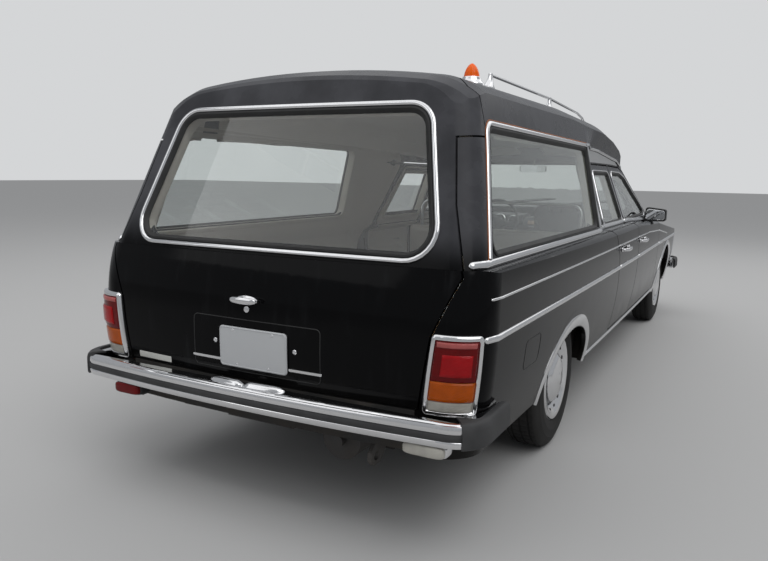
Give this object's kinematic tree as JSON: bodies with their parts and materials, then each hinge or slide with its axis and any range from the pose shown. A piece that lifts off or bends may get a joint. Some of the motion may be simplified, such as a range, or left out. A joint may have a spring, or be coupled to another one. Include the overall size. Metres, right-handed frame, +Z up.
{
  "type": "hearse",
  "caption": "Long black hearse with a raised glazed load space, a top-hinged tailgate, side doors and bright trim.",
  "frame": {"origin": "middle of the overall length and width, on the road surface", "axes": "+X forward, +Y to the left side, +Z up"},
  "size_m": [5.5736, 1.89, 1.7479],
  "materials": {
    "body_paint": "gloss",
    "underseal": "matte",
    "window_glass": "gloss",
    "bright_metal": "polished",
    "lamp_red": "gloss",
    "lamp_clear": "gloss",
    "lamp_amber": "gloss",
    "black_plastic": "satin",
    "pale_trim": "satin",
    "seat_cloth": "matte",
    "deck_board": "satin",
    "running_gear": "matte",
    "tyre_rubber": "matte",
    "wheel_steel": "satin"
  },
  "bodies": {
    "body": {"side_left": "body_paint", "side_right": "body_paint", "roof": "body_paint", "front_panel": "body_paint", "cowl": "body_paint", "fender_left": "body_paint", "fender_right": "body_paint", "floor_pan": "underseal", "windscreen": "window_glass", "load_windows": "window_glass", "rear_bumper": "bright_metal", "front_bumper": "bright_metal", "grille": "bright_metal", "roof_rails": "bright_metal", "rear_bumper_strip": "black_plastic", "front_bumper_strip": "black_plastic", "tail_lamps": "lamp_red", "headlamps": "lamp_clear", "amber_lamps": "lamp_amber", "seats": "seat_cloth", "load_deck": "deck_board", "bulkhead": "pale_trim", "dashboard": "black_plastic", "steering_wheel": "black_plastic", "engine": "running_gear", "front_axle": "running_gear", "rear_axle": "running_gear", "underbody": "running_gear", "tow_eyes": "running_gear"},
    "tailgate": {"tailgate": "body_paint", "tailgate_glass": "window_glass"},
    "hood": {"hood": "body_paint"},
    "door_front_left": {"door_front_left": "body_paint", "glass_front_left": "window_glass", "mirror_left": "black_plastic"},
    "door_rear_left": {"door_rear_left": "body_paint", "glass_rear_left": "window_glass"},
    "knuckle_left": {"knuckle_left": "running_gear"},
    "door_front_right": {"door_front_right": "body_paint", "glass_front_right": "window_glass", "mirror_right": "black_plastic"},
    "door_rear_right": {"door_rear_right": "body_paint", "glass_rear_right": "window_glass"},
    "knuckle_right": {"knuckle_right": "running_gear"},
    "wheel_front_left": {"tyre_front_left": "tyre_rubber", "rim_front_left": "wheel_steel"},
    "wheel_front_right": {"tyre_front_right": "tyre_rubber", "rim_front_right": "wheel_steel"},
    "wheel_rear_left": {"tyre_rear_left": "tyre_rubber", "rim_rear_left": "wheel_steel"},
    "wheel_rear_right": {"tyre_rear_right": "tyre_rubber", "rim_rear_right": "wheel_steel"}
  },
  "joints": [
    {"name": "tailgate_hinge", "type": "hinge", "parent": "body", "child": "tailgate", "pos_m": [-2.124, 0, 1.668], "axis": [0, 1, 0], "range_deg": [0, 80]},
    {"name": "hood_hinge", "type": "hinge", "parent": "body", "child": "hood", "pos_m": [1.537, 0, 0.972], "axis": [0, -1, 0], "range_deg": [0, 60]},
    {"name": "door_front_left_hinge", "type": "hinge", "parent": "body", "child": "door_front_left", "pos_m": [1.292, 0.886, 0.7], "axis": [0, 0, -1], "range_deg": [0, 65]},
    {"name": "door_rear_left_hinge", "type": "hinge", "parent": "body", "child": "door_rear_left", "pos_m": [0.243, 0.888, 0.7], "axis": [0, 0, -1], "range_deg": [0, 65]},
    {"name": "door_front_right_hinge", "type": "hinge", "parent": "body", "child": "door_front_right", "pos_m": [1.292, -0.886, 0.7], "axis": [0, 0, 1], "range_deg": [0, 65]},
    {"name": "door_rear_right_hinge", "type": "hinge", "parent": "body", "child": "door_rear_right", "pos_m": [0.243, -0.888, 0.7], "axis": [0, 0, 1], "range_deg": [0, 65]},
    {"name": "steer_left", "type": "hinge", "parent": "body", "child": "knuckle_left", "pos_m": [1.957, 0.6, 0.328], "axis": [0, 0, 1], "range_deg": [-30, 30]},
    {"name": "steer_right", "type": "hinge", "parent": "body", "child": "knuckle_right", "pos_m": [1.957, -0.6, 0.328], "axis": [0, 0, 1], "range_deg": [-30, 30]},
    {"name": "spin_front_left", "type": "hinge", "parent": "knuckle_left", "child": "wheel_front_left", "pos_m": [1.957, 0.718, 0.328], "axis": [0, 1, 0], "continuous": true},
    {"name": "spin_front_right", "type": "hinge", "parent": "knuckle_right", "child": "wheel_front_right", "pos_m": [1.957, -0.718, 0.328], "axis": [0, 1, 0], "continuous": true},
    {"name": "spin_rear_left", "type": "hinge", "parent": "body", "child": "wheel_rear_left", "pos_m": [-1.443, 0.718, 0.328], "axis": [0, 1, 0], "continuous": true},
    {"name": "spin_rear_right", "type": "hinge", "parent": "body", "child": "wheel_rear_right", "pos_m": [-1.443, -0.718, 0.328], "axis": [0, 1, 0], "continuous": true}
  ],
  "couplings": [
    {"joint": "steer_right", "follows": "steer_left", "ratio": 1}
  ]
}
